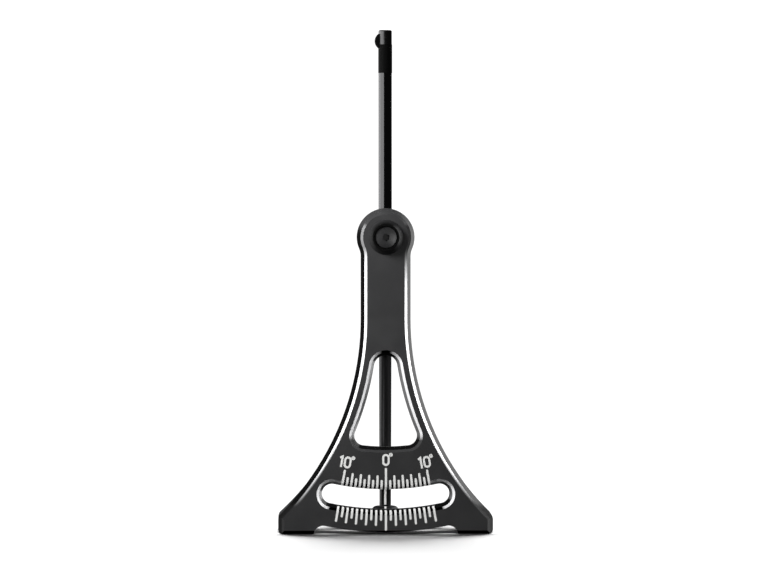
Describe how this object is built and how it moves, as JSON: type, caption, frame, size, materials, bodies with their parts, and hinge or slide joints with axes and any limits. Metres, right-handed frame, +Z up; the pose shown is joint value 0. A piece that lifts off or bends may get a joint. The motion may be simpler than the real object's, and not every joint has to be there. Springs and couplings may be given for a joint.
{
  "type": "camber angle gauge",
  "caption": "Free-standing angle gauge for setting up radio control cars: a bell-shaped plate on feet carries a weighted lever on ball bearings, read against an arc scale.",
  "frame": {"origin": "on the ground, under the middle of the gauge's bounding box", "axes": "+X to the reader's right, +Y away from the reader behind the plate, +Z up along the lever"},
  "size_m": [0.0648, 0.0184, 0.1516],
  "materials": {
    "black_anodised": "satin",
    "gloss_black_rod": "gloss",
    "black_weight": "satin",
    "black_plastic": "satin",
    "black_steel": "satin",
    "bright_steel": "brushed",
    "bearing_steel": "polished"
  },
  "bodies": {
    "stand": {"plate": "black_anodised", "pivot_screw": "black_steel", "cone_washer": "black_anodised", "front_washer": "bright_steel", "rear_washer": "bright_steel", "pivot_nut": "bright_steel", "front_inner_ring": "bearing_steel", "rear_inner_ring": "bearing_steel", "bearing_spacer": "bright_steel"},
    "lever": {"hub": "black_anodised", "front_outer_ring": "bearing_steel", "rear_outer_ring": "bearing_steel", "front_shields": "bright_steel", "rear_shields": "bright_steel", "upper_rod": "gloss_black_rod", "feeler_sleeve": "black_plastic", "rod_cap": "gloss_black_rod", "pointer": "gloss_black_rod", "bob_weight": "black_weight", "bob_grub_screw": "black_steel"},
    "ball_sets": {"front_balls": "bearing_steel", "rear_balls": "bearing_steel", "front_cage": "bearing_steel", "rear_cage": "bearing_steel"}
  },
  "joints": [
    {"name": "lever_swing", "type": "hinge", "parent": "stand", "child": "lever", "pos_m": [0, 0.0028, 0.0892], "axis": [0, 1, 0], "range_deg": [-11.5, 11.5]},
    {"name": "ball_roll", "type": "hinge", "parent": "stand", "child": "ball_sets", "pos_m": [0, 0.0028, 0.0892], "axis": [0, 1, 0], "range_deg": [-7.5, 7.5]}
  ],
  "couplings": [
    {"joint": "ball_roll", "follows": "lever_swing", "ratio": 0.609}
  ]
}
